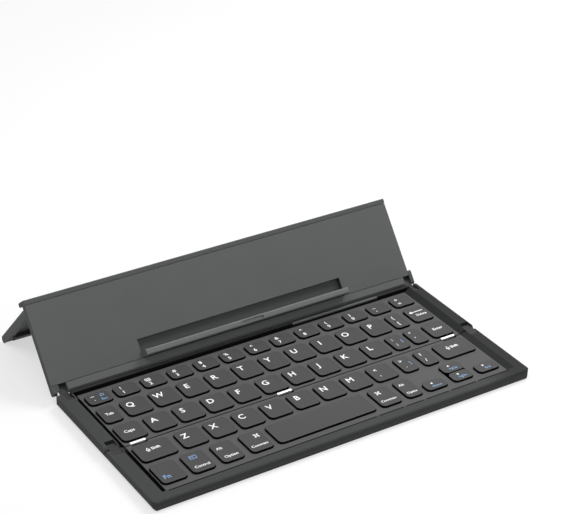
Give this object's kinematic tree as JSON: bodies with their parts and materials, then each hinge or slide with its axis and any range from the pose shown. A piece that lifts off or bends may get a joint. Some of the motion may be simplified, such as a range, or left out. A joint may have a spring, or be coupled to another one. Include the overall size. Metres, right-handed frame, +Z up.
{
  "type": "folding keyboard with tablet stand",
  "caption": "Slim two-panel folding keyboard whose rear stand, carried on paired links, tilts up with a kickstand and a fold-out ledge to hold a tablet.",
  "frame": {"origin": "on the desk, under the middle of the unfolded keyboard's outline", "axes": "+X along the key rows to the right, +Y from the front edge to the stand, +Z up from the desk"},
  "size_m": [0.236, 0.1786, 0.0473],
  "materials": {
    "rim_plastic": "fine matte texture, dark grey",
    "tray_plastic": "fine matte texture, dark grey",
    "deck": "matte, mid grey",
    "key_plastic": "satin, dark grey with white legends",
    "membrane": "clear film",
    "dome_rubber": "moulded rubber",
    "board": "green circuit board",
    "cell": "foil pouch",
    "port_steel": "plated shell",
    "light_trim": "light grey satin",
    "bright_steel": "bright steel",
    "foot_rubber": "matte",
    "pin_steel": "ground steel",
    "link_plastic": "matte, dark grey",
    "stand_plastic": "fine matte texture, mid grey",
    "face_plastic": "fine matte texture, mid grey",
    "strip_plastic": "satin, mid grey",
    "kickstand_plastic": "fine matte texture, dark grey",
    "ledge_plastic": "satin, mid grey"
  },
  "bodies": {
    "middle_panel": {"middle_tray": "tray_plastic", "middle_bezel": "rim_plastic", "middle_key_plate": "deck", "middle_membrane": "membrane", "middle_domes": "dome_rubber", "circuit_board": "board", "battery": "cell", "charging_port": "port_steel", "rear_strip": "light_trim", "stop_tongues": "bright_steel", "middle_feet": "foot_rubber", "middle_fold_pins": "pin_steel", "lower_stand_pins": "pin_steel"},
    "fold_link_pair": {"fold_links": "link_plastic"},
    "front_panel": {"front_tray": "tray_plastic", "front_bezel": "rim_plastic", "front_key_plate": "deck", "front_membrane": "membrane", "front_domes": "dome_rubber", "front_feet": "foot_rubber", "front_fold_pins": "pin_steel"},
    "stand_link_pair": {"stand_links": "link_plastic"},
    "stand_body": {"stand_shell": "stand_plastic", "stand_face": "face_plastic", "spine_strip": "strip_plastic", "upper_stand_pins": "pin_steel", "kickstand_pins": "pin_steel", "ledge_pins": "pin_steel"},
    "kickstand_body": {"kickstand": "kickstand_plastic"},
    "ledge_body": {"ledge": "ledge_plastic"},
    "tilde_key_body": {"tilde_key": "key_plastic"},
    "number_keys_body": {"number_keys": "key_plastic"},
    "tab_key_body": {"tab_key": "key_plastic"},
    "top_letter_keys_body": {"top_letter_keys": "key_plastic"},
    "bracket_key_body": {"bracket_key": "key_plastic"},
    "delete_key_body": {"delete_key": "key_plastic"},
    "caps_lock_key_body": {"caps_lock_key": "key_plastic"},
    "home_letter_keys_body": {"home_letter_keys": "key_plastic"},
    "semicolon_quote_keys_body": {"semicolon_quote_keys": "key_plastic"},
    "enter_key_body": {"enter_key": "key_plastic"},
    "left_shift_key_body": {"left_shift_key": "key_plastic"},
    "bottom_letter_keys_body": {"bottom_letter_keys": "key_plastic"},
    "period_slash_keys_body": {"period_slash_keys": "key_plastic"},
    "right_shift_key_body": {"right_shift_key": "key_plastic"},
    "fn_key_body": {"fn_key": "key_plastic"},
    "control_key_body": {"control_key": "key_plastic"},
    "left_option_key_body": {"left_option_key": "key_plastic"},
    "left_command_key_body": {"left_command_key": "key_plastic"},
    "space_bar_body": {"space_bar": "key_plastic"},
    "right_command_key_body": {"right_command_key": "key_plastic"},
    "right_option_key_body": {"right_option_key": "key_plastic"},
    "left_arrow_key_body": {"left_arrow_key": "key_plastic"},
    "up_arrow_key_body": {"up_arrow_key": "key_plastic"},
    "down_arrow_key_body": {"down_arrow_key": "key_plastic"},
    "right_arrow_key_body": {"right_arrow_key": "key_plastic"}
  },
  "joints": [
    {"name": "fold_rear_hinge", "type": "hinge", "parent": "middle_panel", "child": "fold_link_pair", "pos_m": [0, -0.03568, 0.0037], "axis": [-1, 0, 0], "range_deg": [0, 90]},
    {"name": "fold_front_hinge", "type": "hinge", "parent": "fold_link_pair", "child": "front_panel", "pos_m": [0, -0.04263, 0.0037], "axis": [-1, 0, 0], "range_deg": [0, 90]},
    {"name": "stand_lower_hinge", "type": "hinge", "parent": "middle_panel", "child": "stand_link_pair", "pos_m": [0, 0.01155, 0.0042], "axis": [1, 0, 0], "range_deg": [0, 64.55]},
    {"name": "stand_upper_hinge", "type": "hinge", "parent": "stand_link_pair", "child": "stand_body", "pos_m": [0, 0.02293, 0.00962], "axis": [1, 0, 0], "range_deg": [0, 64.55]},
    {"name": "kickstand_hinge", "type": "hinge", "parent": "stand_body", "child": "kickstand_body", "pos_m": [0, 0.0528, 0.03972], "axis": [-1, 0, 0], "range_deg": [0, 81.5]},
    {"name": "ledge_hinge", "type": "hinge", "parent": "stand_body", "child": "ledge_body", "pos_m": [0, 0.02337, 0.01087], "axis": [-1, 0, 0], "range_deg": [0, 90]},
    {"name": "tilde_key_travel", "type": "slide", "parent": "middle_panel", "child": "tilde_key_body", "axis": [0, 0, 1], "range_m": [-0.0011, 0], "stiffness_N_per_m": 400},
    {"name": "number_keys_travel", "type": "slide", "parent": "middle_panel", "child": "number_keys_body", "axis": [0, 0, 1], "range_m": [-0.0011, 0], "stiffness_N_per_m": 4800},
    {"name": "tab_key_travel", "type": "slide", "parent": "middle_panel", "child": "tab_key_body", "axis": [0, 0, 1], "range_m": [-0.0011, 0], "stiffness_N_per_m": 400},
    {"name": "top_letter_keys_travel", "type": "slide", "parent": "middle_panel", "child": "top_letter_keys_body", "axis": [0, 0, 1], "range_m": [-0.0011, 0], "stiffness_N_per_m": 4000},
    {"name": "bracket_key_travel", "type": "slide", "parent": "middle_panel", "child": "bracket_key_body", "axis": [0, 0, 1], "range_m": [-0.0011, 0], "stiffness_N_per_m": 400},
    {"name": "delete_key_travel", "type": "slide", "parent": "middle_panel", "child": "delete_key_body", "axis": [0, 0, 1], "range_m": [-0.0011, 0], "stiffness_N_per_m": 400},
    {"name": "caps_lock_key_travel", "type": "slide", "parent": "middle_panel", "child": "caps_lock_key_body", "axis": [0, 0, 1], "range_m": [-0.0011, 0], "stiffness_N_per_m": 400},
    {"name": "home_letter_keys_travel", "type": "slide", "parent": "middle_panel", "child": "home_letter_keys_body", "axis": [0, 0, 1], "range_m": [-0.0011, 0], "stiffness_N_per_m": 3600},
    {"name": "semicolon_quote_keys_travel", "type": "slide", "parent": "middle_panel", "child": "semicolon_quote_keys_body", "axis": [0, 0, 1], "range_m": [-0.0011, 0], "stiffness_N_per_m": 800},
    {"name": "enter_key_travel", "type": "slide", "parent": "middle_panel", "child": "enter_key_body", "axis": [0, 0, 1], "range_m": [-0.0011, 0], "stiffness_N_per_m": 400},
    {"name": "left_shift_key_travel", "type": "slide", "parent": "front_panel", "child": "left_shift_key_body", "axis": [0, 0, 1], "range_m": [-0.0011, 0], "stiffness_N_per_m": 400},
    {"name": "bottom_letter_keys_travel", "type": "slide", "parent": "front_panel", "child": "bottom_letter_keys_body", "axis": [0, 0, 1], "range_m": [-0.0011, 0], "stiffness_N_per_m": 3200},
    {"name": "period_slash_keys_travel", "type": "slide", "parent": "front_panel", "child": "period_slash_keys_body", "axis": [0, 0, 1], "range_m": [-0.0011, 0], "stiffness_N_per_m": 800},
    {"name": "right_shift_key_travel", "type": "slide", "parent": "front_panel", "child": "right_shift_key_body", "axis": [0, 0, 1], "range_m": [-0.0011, 0], "stiffness_N_per_m": 400},
    {"name": "fn_key_travel", "type": "slide", "parent": "front_panel", "child": "fn_key_body", "axis": [0, 0, 1], "range_m": [-0.0011, 0], "stiffness_N_per_m": 400},
    {"name": "control_key_travel", "type": "slide", "parent": "front_panel", "child": "control_key_body", "axis": [0, 0, 1], "range_m": [-0.0011, 0], "stiffness_N_per_m": 400},
    {"name": "left_option_key_travel", "type": "slide", "parent": "front_panel", "child": "left_option_key_body", "axis": [0, 0, 1], "range_m": [-0.0011, 0], "stiffness_N_per_m": 400},
    {"name": "left_command_key_travel", "type": "slide", "parent": "front_panel", "child": "left_command_key_body", "axis": [0, 0, 1], "range_m": [-0.0011, 0], "stiffness_N_per_m": 400},
    {"name": "space_bar_travel", "type": "slide", "parent": "front_panel", "child": "space_bar_body", "axis": [0, 0, 1], "range_m": [-0.0011, 0], "stiffness_N_per_m": 400},
    {"name": "right_command_key_travel", "type": "slide", "parent": "front_panel", "child": "right_command_key_body", "axis": [0, 0, 1], "range_m": [-0.0011, 0], "stiffness_N_per_m": 400},
    {"name": "right_option_key_travel", "type": "slide", "parent": "front_panel", "child": "right_option_key_body", "axis": [0, 0, 1], "range_m": [-0.0011, 0], "stiffness_N_per_m": 400},
    {"name": "left_arrow_key_travel", "type": "slide", "parent": "front_panel", "child": "left_arrow_key_body", "axis": [0, 0, 1], "range_m": [-0.0011, 0], "stiffness_N_per_m": 400},
    {"name": "up_arrow_key_travel", "type": "slide", "parent": "front_panel", "child": "up_arrow_key_body", "axis": [0, 0, 1], "range_m": [-0.0011, 0], "stiffness_N_per_m": 400},
    {"name": "down_arrow_key_travel", "type": "slide", "parent": "front_panel", "child": "down_arrow_key_body", "axis": [0, 0, 1], "range_m": [-0.0011, 0], "stiffness_N_per_m": 400},
    {"name": "right_arrow_key_travel", "type": "slide", "parent": "front_panel", "child": "right_arrow_key_body", "axis": [0, 0, 1], "range_m": [-0.0011, 0], "stiffness_N_per_m": 400}
  ],
  "couplings": [
    {"joint": "fold_rear_hinge", "follows": "fold_front_hinge", "ratio": 1},
    {"joint": "stand_upper_hinge", "follows": "stand_lower_hinge", "ratio": 1}
  ]
}
